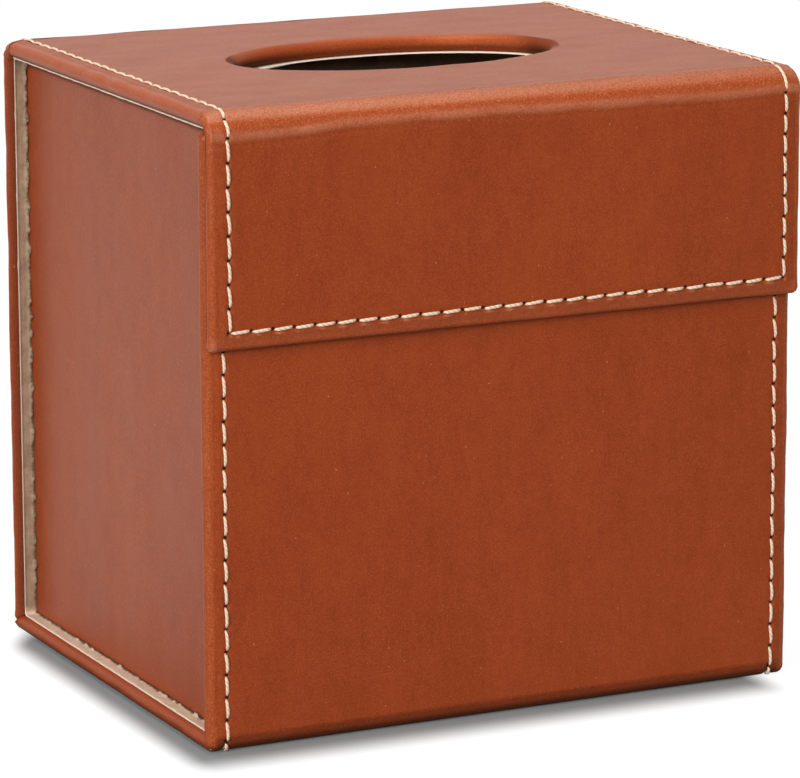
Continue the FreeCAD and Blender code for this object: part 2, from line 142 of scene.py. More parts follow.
class Course:
    """A line in the YZ plane through given corners, each rounded by an arc of its own radius.
    Its distance s is 0 at the first corner. The face lies to the right of the way it runs."""

    def __init__(self, corners, radii):
        corners = np.array(corners, float)
        runs = np.diff(corners, axis=0)
        lengths = np.hypot(*runs.T)
        ways = runs / lengths[:, None]
        angles = np.unwrap(np.arctan2(ways[:, 1], ways[:, 0]))
        bends = np.diff(angles)
        cuts = np.concatenate([[0], np.array(radii) * np.tan(np.abs(bends) / 2), [0]])
        places, headings, points, self.knots = [0.0], [angles[0]], [corners[0]], []
        for k, angle in enumerate(angles):
            straight = lengths[k] - cuts[k] - cuts[k + 1]
            self.knots.append((places[-1], places[-1] + straight))
            places.append(places[-1] + straight)
            headings.append(angle)
            points.append(points[-1] + ways[k] * straight)
            if k < len(bends):
                count = max(2, int(abs(bends[k]) * radii[k] / ARC_STEP))
                turn = np.linspace(0, bends[k], count + 1)[1:]
                side = np.sign(bends[k]) * radii[k]
                centre = points[-1] + side * np.array([-np.sin(angle), np.cos(angle)])
                arc = angle + turn
                arcs = centre + side * np.stack([np.sin(arc), -np.cos(arc)], 1)
                points.extend(arcs)
                headings.extend(arc)
                places.extend(places[-1] + np.abs(turn) * radii[k])
        self.places, self.headings, self.points = map(np.array, (places, headings, points))

    def at(self, s):
        """Points (y, z) and outward normals at the distances s, straight on beyond both ends."""
        inside = np.clip(s, self.places[0], self.places[-1])
        heading = np.interp(inside, self.places, self.headings)
        way = np.stack([np.cos(heading), np.sin(heading)], -1)
        point = np.stack([np.interp(inside, self.places, self.points[:, k]) for k in (0, 1)], -1)
        return point + way * (s - inside)[..., None], np.stack([way[..., 1], -way[..., 0]], -1)


def on_course(course, within=None):
    """A function that lays plan places (u, s, height) on a course. within keeps what lies behind the
    leather's face inside the corner that the next run makes, as a mitre does."""

    def lay(u, s, height):
        point, normal = course.at(s)
        y, z = np.moveaxis(point + normal * height[..., None], -1, 0)
        if within is not None:
            y, z = within(y, z, height)
        return np.stack([u, y, z], -1)

    return lay


# ------------------------------------------------------------------------------------------ meshes


def grid_quads(rows, columns, across=False):
    """Corners of every cell of a grid whose points are numbered row by row. It may close on itself
    across its columns."""
    i = np.arange(rows - 1)[:, None]
    j = np.arange(columns if across else columns - 1)[None, :]
    right, below = (j + 1) % columns, i + 1
    corners = [i * columns + j, i * columns + right, below * columns + right, below * columns + j]
    return np.stack([c.ravel() for c in corners], 1)


def vertex_normals(points, quads):
    """Unit normals at the points: the sum of the normals of the cells round each."""
    a, b, c, d = (points[quads[:, k]] for k in range(4))
    flat = np.cross(c - a, d - b)
    total = np.zeros_like(points)
    for k in range(4):
        np.add.at(total, quads[:, k], flat)
    return total / np.maximum(np.linalg.norm(total, axis=1, keepdims=True), 1e-12)


def shown(name, data):
    """An object of the data, in the scene."""
    made = bpy.data.objects.new(name, data)
    bpy.context.scene.collection.objects.link(made)
    return made


def piece(name, points, quads, finish, facts=()):
    """A mesh object from points in millimetres and four-sided cells, less the cells that fold to
    nothing. facts are named attributes, with one number or three per point, that its finish reads."""
    a, b, c, d = (points[quads[:, k]] for k in range(4))
    quads = quads[np.linalg.norm(np.cross(c - a, d - b), axis=1) > 1e-5]
    mesh = bpy.data.meshes.new(name)
    mesh.from_pydata((points * MM).tolist(), [], quads.tolist())
    mesh.polygons.foreach_set("use_smooth", np.ones(len(quads), bool))
    for label, values in dict(facts).items():
        values = np.asarray(values, np.float32)
        kind, field = ("FLOAT", "value") if values.ndim == 1 else ("FLOAT_VECTOR", "vector")
        mesh.attributes.new(label, kind, "POINT").data.foreach_set(field, values.ravel())
    mesh.materials.append(finish)
    mesh.update()
    made = shown(name, mesh)
    return made


# ---------------------------------------------------------------------------- panels with turned edges


def turned_edge(step, thick, roll, corner):
    """Place of a turned edge's section, as its reach past the panel's core and its depth.
    step runs 0-1 over the flat rim, 1-2 round the outer roll, 2-3 down the edge, 3-4 round the inner
    roll and 4-5 under the panel."""
    flat = corner - roll
    outer = np.clip(step - 1, 0, 1) * TURN
    inner = np.clip(step - 3, 0, 1) * TURN
    tuck = np.maximum(step - 4, 0) * corner
    reach = np.clip(step, 0, 1) * flat + roll * np.sin(outer) - roll * (1 - np.cos(inner)) - tuck
    depth = roll * (1 - np.cos(outer)) + np.clip(step - 2, 0, 1) * (thick - 2 * roll) + roll * np.sin(inner)
    return np.maximum(reach, 0.1 * (step > 0)), depth


RIM_STEPS = np.array([0.5, 1, 1.16, 1.33, 1.5, 1.66, 1.83, 2, 2.25, 2.5, 2.75, 3, 3.25, 3.5, 3.75, 4, 5])


def with_rims(core, before=True, after=True):
    """Core places with the turned rims' steps beyond them: (place in the core, signed step)."""
    start = -RIM_STEPS[::-1] if before else np.zeros(0)
    end = RIM_STEPS if after else np.zeros(0)
    steps = np.concatenate([start, np.zeros(len(core)), end])
    places = np.concatenate([np.full(len(start), core[0]), core, np.full(len(end), core[-1])])
    return places, steps


class Plan:
    """A flat panel with turned edges on a grid: u across, s along, depth behind the face, and step,
    which says how far round the turned edge a point lies. In a corner both rims meet, and the grid's
    square is mapped to a quarter circle. pleat is 1 along the creases of a turned-in corner."""

    def __init__(self, u_core, s_core, thick, roll, corner=CORNER, ends=(True, True)):
        u_base, u_step = with_rims(u_core)
        s_base, s_step = with_rims(s_core, *ends)
        self.shape = (len(s_base), len(u_base))
        u_base, u_step = (np.broadcast_to(a[None, :], self.shape) for a in (u_base, u_step))
        s_base, s_step = (np.broadcast_to(a[:, None], self.shape) for a in (s_base, s_step))
        thick = np.broadcast_to(thick(s_base) if callable(thick) else thick, self.shape)
        roll = np.broadcast_to(roll(s_base) if callable(roll) else roll, self.shape)
        self.step = np.maximum(np.abs(u_step), np.abs(s_step))
        far = np.maximum(np.hypot(u_step, s_step), 1e-9)
        reach, self.depth = turned_edge(self.step, thick, roll, corner)
        self.u = u_base + u_step / far * reach
        self.s = s_base + s_step / far * reach
        self.quads = grid_quads(*self.shape)
        angle = np.arctan2(np.abs(s_step), np.abs(u_step))
        creases = hump(np.abs(angle - TURN / 2) - 0.16, 0.08) * (u_step != 0) * (s_step != 0)
        self.pleat = (creases * ease(self.step, 1.1, 2.0) * fade(self.step, 3.5, 4.5)).ravel()

    def flat(self):
        """u, s, depth and step as plain lists of points."""
        return (a.ravel() for a in (self.u, self.s, self.depth, self.step))


def facing(points, quads, outward):
    """The cells, turned over if they face away from the outward directions given at the points."""
    return quads if (vertex_normals(points, quads) * outward).sum() > 0 else quads[:, ::-1]


def band_columns():
    """Places across the band, close together at the seams and wider apart in the middle."""
    low, high, last = SEAM - 1.4, SEAM + 1.4, EDGE - CORNER
    beside = spaced(last - 9.5, low, 0.8)[:-1]
    near = np.concatenate([beside, spaced(low, high, 0.28), spaced(high, last, 0.6)[1:]])
    return np.concatenate([-near[::-1], spaced(-near[0], near[0], 2.4)[1:-1], near])


# ------------------------------------------------------------------------------------- the courses

case_course = Course(
    [(FRONT, WALLS_TOP), (FRONT, 0), (BACK, 0), (BACK, TOP), (LID_BACK, TOP)],
    [BASE_FOLD, HEEL_FOLD, BACK_FOLD],
)
case_front, case_base, case_back, _ = case_course.knots
CASE_END = case_course.places[-1]
base_fold, heel_fold = (case_front[1], case_base[0]), (case_base[1], case_back[0])
back_turn = case_back[1], CASE_END
lid_course = Course([(LID_BACK, TOP), (FLAP_FACE, TOP), (FLAP_FACE, FLAP_FOOT)], [FRONT_FOLD])
lid_run, flap_run = lid_course.knots
FOOT_SEAM = flap_run[1] - FOOT_MARGIN


def in_case(y, z, height):
    """Keeps what lies behind the case's leather inside its mitred bottom corners, and all of it
    above the ground."""
    return np.clip(y, FRONT - height, BACK + height), np.maximum(z, np.maximum(-height, 0))


lay_case = on_course(case_course, in_case)
lay_lid = on_course(lid_course)


def lay_side(side, face=SIDE_FACE, way=1):
    """Lays plan places on a side panel's face: u runs along Y, s up Z, and the height out from the
    case, or into it if way is -1."""
    return lambda u, s, height: np.stack([side * (face + way * height), u, s], -1)


# --------------------------------------------------------------------------------------- the seams


class Seam:
    """A row of stitches: its holes lie at whole numbers of its phase, and a stitch between two.
    parts are (start, end, number of stitches) along s."""

    def __init__(self, *parts):
        places, phases = [parts[0][0]], [0]
        for start, end, count in parts:
            if start > places[-1] + 1e-6:
                places.append(start)
                phases.append(phases[-1])
            places.append(end)
            phases.append(phases[-1] + count)
        self.places, self.phases = np.array(places), np.array(phases, float)

    def phase(self, s):
        """Number of stitches passed at the distance s."""
        return np.interp(s, self.places, self.phases)

    def middles(self):
        """Distances of the stitches' middles."""
        return np.interp(np.arange(int(self.phases[-1])) + 0.5, self.phases, self.places)

    def pitch(self, s):
        """Length of one stitch and hole at the distance s."""
        k = np.clip(np.searchsorted(self.places, s) - 1, 0, len(self.places) - 2)
        return np.diff(self.places)[k] / np.maximum(np.diff(self.phases)[k], 1e-9)


front_seam = Seam(
    (EDGE_ROLL, case_front[1], 26), (*base_fold, 1), (*case_base, 22),
    (*heel_fold, 1), (*case_back, 27), (*back_turn, 2),
)
left_seam = Seam((0, lid_run[1], 22), (lid_run[1], flap_run[0], 2), (flap_run[0], FOOT_SEAM, 8))
right_seam = Seam((0, lid_run[1], 22), (lid_run[1], flap_run[0], 1), (flap_run[0], FOOT_SEAM, 9))
foot_seam = Seam((-SEAM, SEAM, 27))


def drawn_down(across, phase, pitch):
    """Height of leather that a seam pulls down: a shallow channel, a dimple at each needle hole and
    a soft swell beside each stitch."""
    off = np.abs(phase - np.round(phase)) * pitch
    channel = -0.09 * hump(across, 0.7)
    dimple = -0.34 * hump(across, 0.5) * hump(off, 0.6)
    swell = 0.06 * hump(np.abs(across) - 1.7, 0.9) * (0.7 - 0.3 * np.cos(2 * np.pi * phase))
    return channel + dimple + swell


# ------------------------------------------------------------------------------------ shader tools


class Wire:
    """A number that flows between shader nodes. Arithmetic on it adds Math nodes."""

    def __init__(self, finish, socket):
        self.finish, self.socket = finish, socket

    def __add__(self, other):
        return self.finish.maths("ADD", self, other)

    def __sub__(self, other):
        return self.finish.maths("SUBTRACT", self, other)

    def __rsub__(self, other):
        return self.finish.maths("SUBTRACT", other, self)

    def __mul__(self, other):
        return self.finish.maths("MULTIPLY", self, other)

    __radd__, __rmul__ = __add__, __mul__


class Finish:
    """A material in the making."""

    def __init__(self, name, **constants):
        self.material = bpy.data.materials.new(name)
        self.material.use_nodes = True
        self.tree = self.material.node_tree
        self.shader = self.tree.nodes["Principled BSDF"]
        for socket, value in constants.items():
            self.shader.inputs[socket.replace("_", " ")].default_value = value

    def add(self, kind, settings=None, **sockets):
        """A node of a kind, with its settings made first and then the values or links of its sockets.
        A socket is named, or is numbered as in s6."""
        node = self.tree.nodes.new(kind)
        for key, value in (settings or {}).items():
            if key == "stops":
                ramp = node.color_ramp.elements
                while len(ramp) < len(value):
                    ramp.new(1)
                for stop, (place, colour) in zip(ramp, value):
                    stop.position, stop.color = place, colour
            else:
                setattr(node, key, value)
        for key, value in sockets.items():
            socket = node.inputs[int(key[1:])] if key[1:].isdigit() else node.inputs[key.replace("_", " ")]
            self.feed(socket, value)
        return node

    def feed(self, socket, value):
        """Links a socket to a wire or another socket, or sets its value."""
        if isinstance(value, Wire):
            self.tree.links.new(value.socket, socket)
        elif isinstance(value, bpy.types.NodeSocket):
            self.tree.links.new(value, socket)
        else:
            socket.default_value = value

    def maths(self, operation, *values):
        """What a Math node makes of the values."""
        node = self.add("ShaderNodeMath", {"operation": operation})
        for socket, value in zip(node.inputs, values):
            self.feed(socket, value)
        return Wire(self, node.outputs[0])

    def smooth(self, value, low, high):
        """0 below low and 1 above high, smooth between. low may be above high, which turns it round."""
        node = self.add("ShaderNodeMapRange", {"interpolation_type": "SMOOTHSTEP"})
        for k, number in enumerate((value, low, high, 0.0, 1.0)):
            self.feed(node.inputs[k], number)
        return Wire(self, node.outputs[0])

    def fact(self, name):
        """A named attribute as a number."""
        node = self.add("ShaderNodeAttribute", {"attribute_name": name})
        return Wire(self, node.outputs["Fac"])

    def facts(self, name):
        """A named attribute's three numbers."""
        node = self.add("ShaderNodeAttribute", {"attribute_name": name})
        parts = self.add("ShaderNodeSeparateXYZ", Vector=node.outputs["Vector"])
        return [Wire(self, output) for output in parts.outputs]

    def place(self, scale=(1, 1, 1)):
        """Object coordinates in millimetres, scaled."""
        here = self.add("ShaderNodeTexCoord").outputs["Object"]
        return self.add("ShaderNodeMapping", Vector=here, Scale=tuple(k / MM for k in scale)).outputs[0]

    def axes(self):
        """Object coordinates in millimetres, as three numbers."""
        parts = self.add("ShaderNodeSeparateXYZ", Vector=self.place())
        return [Wire(self, output) for output in parts.outputs]

    def noise(self, size, detail=3.0, roughness=0.55, place=None, warp=0.0):
        """Cloudy unevenness of 0 to 1 whose blotches are about size millimetres."""
        node = self.add("ShaderNodeTexNoise", Vector=self.place() if place is None else place,
                        Scale=1 / size, Detail=detail, Roughness=roughness, Distortion=warp)
        return Wire(self, node.outputs["Fac"])

    def cells(self, size):
        """Smoothed distance to the nearest of scattered points about size millimetres apart."""
        node = self.add("ShaderNodeTexVoronoi", {"feature": "SMOOTH_F1"}, Vector=self.place(), Scale=1 / size)
        return Wire(self, node.outputs["Distance"])

    def blend(self, share, first, second):
        """Colour that goes from the first to the second with the share."""
        return self.add("ShaderNodeMix", {"data_type": "RGBA"}, s0=share, s6=first, s7=second).outputs[2]

    def ramp(self, share, *stops):
        """Colour along a ramp of (place, colour) stops."""
        return self.add("ShaderNodeValToRGB", {"stops": stops}, Fac=share).outputs["Color"]

    def bump(self, height, depth):
        """Normal of a surface with this height, in units of depth millimetres."""
        return self.add("ShaderNodeBump", Height=height, Distance=depth * MM, Strength=1.0).outputs[0]

    def finish(self, **sockets):
        """Feeds the shader and gives the material."""
        for key, value in sockets.items():
            self.feed(self.shader.inputs[key.replace("_", " ")], value)
        return self.material


def shade(red, green, blue):
    """A colour from screen values of 0 to 255, as the linear numbers that a shader takes."""
    values = np.array([red, green, blue]) / 255
    linear = np.where(values <= 0.04045, values / 12.92, ((values + 0.055) / 1.055) ** 2.4)
    return (*linear.tolist(), 1.0)


# --------------------------------------------------------------------------------------- finishes


def leather_finish(name, deep, main, warm):
    """Smooth glazed leather: mottled dye, a fine pressed pebble that stands out where the leather is
    bent, pores, needle holes darkened with painted shade, edges that wear lighter, painted highlights
    on the lips beside the stitches, painted highlights and painted shade carried by the pale attribute,
    and painted shade towards the foot."""
    f = Finish(name, Specular_IOR_Level=0.30, Specular_Tint=(1.0, 0.86, 0.60, 1.0))
    clouds = f.noise(26, 3.0, 0.5, f.place((1.0, 1.0, 0.4)))
    streaks = f.noise(2.2, 3.0, 0.6, f.place((1.0, 0.5, 0.22)))
    blotches = f.noise(9, 4.0, 0.6, warp=0.3)
    mist = f.noise(1.4, 4.0, 0.65)
    pebble = f.cells(0.44)
    fine = f.noise(0.42, 2.0, 0.6)
    across, phase, pitch = f.facts("seam")
    foot_across, foot_phase, foot_pitch = f.facts("foot")
    wear, fold, pale, glow = f.fact("wear"), f.fact("fold"), f.fact("pale"), f.fact("glow")
    dye = clouds * 0.24 + blotches * 0.2 + mist * 0.34 + streaks * 0.22
    colour = f.ramp(dye, (0.36, deep), (0.5, main), (0.66, warm))
    worn = f.smooth(wear + (blotches - 0.5) * 0.4 + (mist - 0.5) * 0.8, 0.1, 1.25)
    colour = f.blend(worn * 0.7, colour, shade(168, 78, 38))
    colour = f.blend(glow * (0.7 + mist * 0.5), colour, shade(170, 68, 17))
    # Painted highlights: where the pale attribute is above 0.
    colour = f.blend(f.maths("MAXIMUM", pale, 0.0) * (0.35 + mist * 0.5), colour, shade(214, 138, 104))
    light = f.smooth(fine, 0.5, 0.7) * (0.12 + fold * 0.14 + wear * 0.15)
    dark = f.smooth(fine, 0.5, 0.3) * (0.24 + fold * 0.08 + wear * 0.14)
    colour = f.blend(light, f.blend(dark, colour, shade(104, 38, 13)), shade(224, 138, 96))
    # Painted shade: where the pale attribute is below 0.
    colour = f.blend(f.maths("MAXIMUM", pale * -1.0, 0.0), colour, shade(40, 14, 7))
    specks = f.smooth(f.noise(1.0, 1.0, 0.5), 0.79, 0.81)
    colour = f.blend(specks * 0.5, colour, shade(214, 150, 110))
    x, _, up = f.axes()
    # Painted shade: darker towards the ground, below 4.4 mm up, and below 3.2 mm also at the side edges.
    foot_shade = f.smooth(up, 3.2, 0.0)
    low = f.smooth(up, 4.4, 1.0) * f.smooth(f.maths("ABSOLUTE", x), EDGE - 1, EDGE - 3)
    low = f.maths("MAXIMUM", foot_shade, low)
    colour = f.blend(low * 0.8, colour, shade(40, 14, 7))

    def holes(distance, count, step):
        """1 in a needle hole."""
        off = f.maths("ABSOLUTE", count - f.maths("ROUND", count)) * step
        far = f.maths("SQRT", distance * distance + off * off * 1.3)
        return f.smooth(far, 0.56, 0.34)

    def lips(distance, count):
        """1 on the lit lip beside the start of a stitch."""
        first = f.maths("PINGPONG", count - 0.28, 0.5)
        return f.smooth(f.maths("ABSOLUTE", distance - 0.9), 0.5, 0.1) * f.smooth(first, 0.3, 0.02)

    # Painted highlight on the lit lip beside the start of each foot stitch.
    lip = lips(foot_across, foot_phase) * f.smooth(mist, 0.35, 0.6)
    colour = f.blend(lip * 0.5, colour, shade(222, 140, 100))
    # Needle holes, darkened with painted shade.
    hole = f.maths("MAXIMUM", holes(across, phase, pitch), holes(foot_across + 0.16, foot_phase, foot_pitch))
    colour = f.blend(hole * 0.96, colour, shade(20, 6, 3))
    wrinkles = f.noise(1.0, 5.0, 0.66, f.place((0.35, 1.0, 1.0)), 0.6)
    height = pebble * (-0.45 - fold * 1.2) + fine * (0.3 + fold * 0.8)
    height = height + blotches * 0.5 + fold * wrinkles * 0.6
    matt = f.maths("MAXIMUM", f.maths("MAXIMUM", hole, low), pale * -1.0)
    rough = 0.44 + (mist - 0.5) * 0.16 - worn * 0.08 + matt * 0.45
    return f.finish(Base_Color=colour, Roughness=rough, Normal=f.bump(height, 0.06))


def suede_finish(name, dark, pale, edge):
    """Short-napped lining: soft blotches where the nap lies both ways, with a pale cut edge, painted shade
    in a line beside it, over the lining inside the case's walls and in the nook by the side panels, and
    painted light on the strip along the base.
    """
    f = Finish(name, Specular_IOR_Level=0.15)
    nap = f.noise(0.35, 4.0, 0.7)
    patches = f.noise(4.0, 4.0, 0.6, warp=0.5)
    streaks = f.noise(1.1, 3.0, 0.6)
    cut = f.fact("cut")
    colour = f.ramp(patches * 0.5 + streaks * 0.3 + nap * 0.2, (0.34, dark), (0.64, pale))
    colour = f.blend(f.maths("MAXIMUM", cut, 0.0) * (0.75 + 0.25 * nap), colour, edge)
    # Painted shade in a line beside the cut edge, where cut is below 0.
    colour = f.blend(f.maths("MAXIMUM", cut * -1.0, 0.0), colour, shade(92, 62, 42))
    x, y, z = f.axes()
    out = f.maths("ABSOLUTE", x) - SIDE_FACE
    in_walls = f.smooth(y, FRONT + 0.2, FRONT + 1.5) * f.smooth(z, WALLS_TOP + 0.2, WALLS_TOP - 0.3)
    # Painted shade over the lining inside the case's walls: strong between the side panels, lighter elsewhere
    # above the base.
    painted_inner_shade = f.maths("MAXIMUM", f.smooth(out, -2.0, -6.0) * 0.55, f.smooth(z, IN + 0.5, IN + 2.5) * 0.36)
    colour = f.blend(painted_inner_shade * in_walls, colour, shade(96, 68, 48))
    # Painted light on the strip along the base.
    lit = f.smooth(z, IN + 0.9, IN + 0.3) * f.smooth(out, -1.0, 0.3)
    colour = f.blend(lit * (0.2 + nap * 0.65), colour, shade(246, 220, 192))
    # Painted shade in a line where the strip meets the side panel.
    painted_nook_shade = f.smooth(out + (streaks - 0.5) * 1.6, 0.75, 0.15) * f.smooth(out, -1.5, -0.5)
    colour = f.blend(painted_nook_shade * in_walls * 0.75, colour, shade(74, 46, 28))
    height = nap * 0.5 + streaks * 0.5
    return f.finish(Base_Color=colour, Roughness=0.88 + (nap - 0.5) * 0.15, Normal=f.bump(height, 0.12))


def thread_finish():
    """Waxed cream thread of twisted plies, darker towards the ends where it goes into its holes."""
    f = Finish("waxed_thread", Specular_IOR_Level=0.4)
    along, around, end = f.facts("lay")
    twist = f.maths("SINE", along * 5.2 + around * 12.566)
    fibre = f.noise(0.16, 3.0, 0.6)
    ply = f.smooth(twist + (fibre - 0.5) * 2.0, -1.3, 0.6)
    colour = f.blend(ply, shade(228, 188, 156), shade(252, 226, 198))
    # Darker towards the ends of each stitch.
    colour = f.blend(f.smooth(end, 0.86, 1.0) * 0.7, colour, shade(120, 70, 44))
    rough, normal = 0.5 + fibre * 0.2, f.bump(twist * 0.35 + fibre * 0.6, 0.06)
    return f.finish(Base_Color=colour, Roughness=rough, Normal=normal)


def board_finish():
    """Grey pressed board with paper fibres and darker flecks."""
    f = Finish("grey_board", Specular_IOR_Level=0.2)
    fibre = f.noise(0.6, 5.0, 0.7, f.place((1, 1, 0.3)))
    flecks = f.smooth(f.noise(0.5, 1.0), 0.68, 0.74)
    colour = f.blend(fibre, shade(134, 128, 118), shade(176, 170, 158))
    colour = f.blend(flecks * 0.5, colour, shade(86, 80, 74))
    return f.finish(Base_Color=colour, Roughness=0.85 + (fibre - 0.5) * 0.2, Normal=f.bump(fibre, 0.08))


def steel_finish():
    """Brushed zinc-plated steel."""
    f = Finish("brushed_steel", Metallic=1.0)
    lines = f.noise(0.4, 3.0, 0.6, f.place((0.06, 1, 1)))
    colour = f.blend(lines, shade(168, 170, 174), shade(206, 208, 210))
    return f.finish(Base_Color=colour, Roughness=0.28 + lines * 0.2, Normal=f.bump(lines, 0.02))


leather = leather_finish("leather", shade(142, 53, 19), shade(152, 61, 23), shade(161, 68, 28))
suede = suede_finish("suede_lining", shade(166, 138, 113), shade(212, 184, 156), shade(252, 234, 216))
thread = thread_finish()
board = board_finish()
steel = steel_finish()

# ---------------------------------------------------------------------------------- the leather bands


def band_facts(u, s, step, seams, foot=None, fold=0.0):
    """Attributes of a band's leather: where its seams lie, how worn it is and where it folds."""
    left, right = seams
    phase = np.where(u < 0, left.phase(s), right.phase(s))
    pitch = np.where(u < 0, left.pitch(s), right.pitch(s))
    across = np.abs(u) - SEAM
    nowhere = np.full_like(u, -AWAY)
    if foot is None:
        foot_facts = np.stack([nowhere, nowhere * 0, nowhere * 0 + 5], 1)
    else:
        foot_facts = np.stack([s - foot, foot_seam.phase(u), foot_seam.pitch(u)], 1)
    past = (s < left.places[0] - 1) | (s > left.places[-1] + 1) | (step > 2)
    across = np.where(past, np.where(across < 0, -AWAY, AWAY), across)
    wear = (0.72 * hump(step - 1.3, 0.55) + 0.28 * ease(step, 0, 0.8) * fade(step, 2, 3)) * (step > 0)
    # pale is for painted highlights, above 0, and painted shade, below 0; it starts at 0 here.
    return {
        "seam": np.stack([across, phase, pitch], 1), "foot": foot_facts, "wear": wear,
        "fold": np.broadcast_to(fold, u.shape), "pale": np.zeros_like(u), "glow": np.zeros_like(u),
    }


def band_height(u, s, step, facts, seed, rounded=ALL):
    """Height of a band's leather over its plain form: seams, a face that stands a little proud
    between its rims, a pillowed edge and slight unevenness. rounded is where the band's foot rim
    starts."""
    across, phase, pitch = facts["seam"].T
    foot_across, foot_phase, foot_pitch = facts["foot"].T
    height = drawn_down(across, phase, pitch) + drawn_down(foot_across, foot_phase, foot_pitch)
    uneven = ripples(u, s, 16, seed) * 0.05 + ripples(u, s, 5, seed + 1) * 0.012
    crown = fade(np.abs(u), SEAM + 0.3, EDGE - 1.3) * fade(s, rounded, rounded + 2.6)
    uneven = uneven + PROUD * crown * fade(step, 2, 3)
    rim = np.clip(step, 0, 1) * fade(step, 2.5, 3.5)
    lumps = ripples(u * 0.3, s, 11, seed + 2) * 0.05 + ripples(u * 0.3, s, 3.4, seed + 3) * 0.02
    return (height + uneven + rim * lumps) * fade(step, 3.2, 4.2)


def mitre(s, place, step):
    """Height of a turned edge where the band folds: a crease across it with a swelling on each side."""
    off = s - place
    crease = 0.2 * hump(np.abs(off) - 1.4, 0.9) - 0.6 * hump(off, 0.5)
    return crease * ease(step, 1.0, 2.0) * fade(step, 3.5, 4.5)


def raised(points, quads, height):
    """Points moved out along their normals."""
    return points + vertex_normals(points, quads) * height[:, None]


def outward_of(lay, u, s):
    """The direction away from a face at each place."""
    one, none = np.ones_like(u), np.zeros_like(u)
    return lay(u, s, one) - lay(u, s, none)


def case_piece(name, s_from, s_to, ends, replaced):
    """A length of the band that makes the front, the base, the back and the back fold."""
    folds = base_fold, heel_fold, back_turn
    base_mid, heel_mid, back_mid = (sum(fold) / 2 for fold in folds)
    knots = [place for fold in folds for place in fold if s_from < place < s_to]
    stops = [s_from + (CORNER if ends[0] else 0), *knots, s_to]
    rows = []
    for run in zip(stops, stops[1:]):
        folded = any(low < sum(run) / 2 < high for low, high in folds)
        rows.append(spaced(*run, 0.35 if folded else 0.62))
    rows = np.unique(np.concatenate(rows))
    plan = Plan(band_columns(), rows, SHELL, EDGE_ROLL, ends=ends)
    u, s, depth, step = plan.flat()
    points = lay_case(u, s, -depth)
    quads = facing(points, plan.quads, outward_of(lay_case, u, s) * (step < 1)[:, None])
    bend = 0.3 * np.maximum(hump(s - base_mid, 3), hump(s - heel_mid, 3))
    bend = np.maximum(bend, hump(s - back_mid, 4))
    facts = band_facts(u, s, step, (front_seam, front_seam), fold=bend)
    facts["wear"] = np.maximum(facts["wear"], bend * 0.7 * (step < 2))
    under = (s > case_front[1] - 1) & (s < case_back[0] + 1) & (depth < 1)
    height = band_height(u, s, step, facts, 11) - 0.08 * plan.pleat
    heel = np.where(np.abs(u) > SEAM, case_back[0] - s, 0.5)
    # Painted shade on the inner roll of the back's turned edge, and in the crease at the heel.
    facts["pale"] -= 0.5 * ease(step, 3.0, 3.7) * (s > case_back[0])
    facts["pale"] -= 0.9 * hump(heel, 0.6) * ease(step, 0.8, 1.6)
    on_base = (s > case_base[0]) & (s < case_base[1])
    facts["glow"] += 0.55 * hump(step - 3.0, 0.6) * on_base
    height += 0.3 * mitre(s, base_mid, step) + mitre(s, heel_fold[1], step) + mitre(s, back_mid, step)
    groove = 0.55 * hump(facts["seam"][:, 0], 0.8)
    height = np.where(under, np.minimum(height, 0) - 0.02 - groove, height)
    points = raised(points, quads, height)
    made = piece(name, points, quads, leather, facts)
    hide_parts(*replaced)
    return made


case_cover = case_piece(
    "case_cover", 0, case_back[1], (True, False), ("front_leather", "base_leather", "back_leather")
)
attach(case_cover, "case")
back_fold = case_piece("back_fold_cover", *back_turn, (False, False), ("lid_hinge_leather",))
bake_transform(back_fold)

# -------------------------------------------------------------------------- the lid, its oval and flap


def flap_share(s):
    """0 on the lid, 1 on the flap."""
    return ease(s, lid_run[1], flap_run[0])


def lid_thick(s):
    """Thickness of the panel behind the leather's face."""
    return SHELL + (FLAP_SHELL - SHELL) * flap_share(s)


def lid_roll(s):
    """Radius of the turned edges."""
    return EDGE_ROLL + (FLAP_ROLL - EDGE_ROLL) * flap_share(s)


def oval_place(angle, grow):
    """Place on the oval at an angle of its own equation, moved outwards by grow."""
    point = np.stack([OVAL[0] * np.cos(angle), OVAL[1] * np.sin(angle)], -1)
    normal = np.stack([OVAL[1] * np.cos(angle), OVAL[0] * np.sin(angle)], -1)
    return point + normal / np.linalg.norm(normal, axis=-1, keepdims=True) * grow


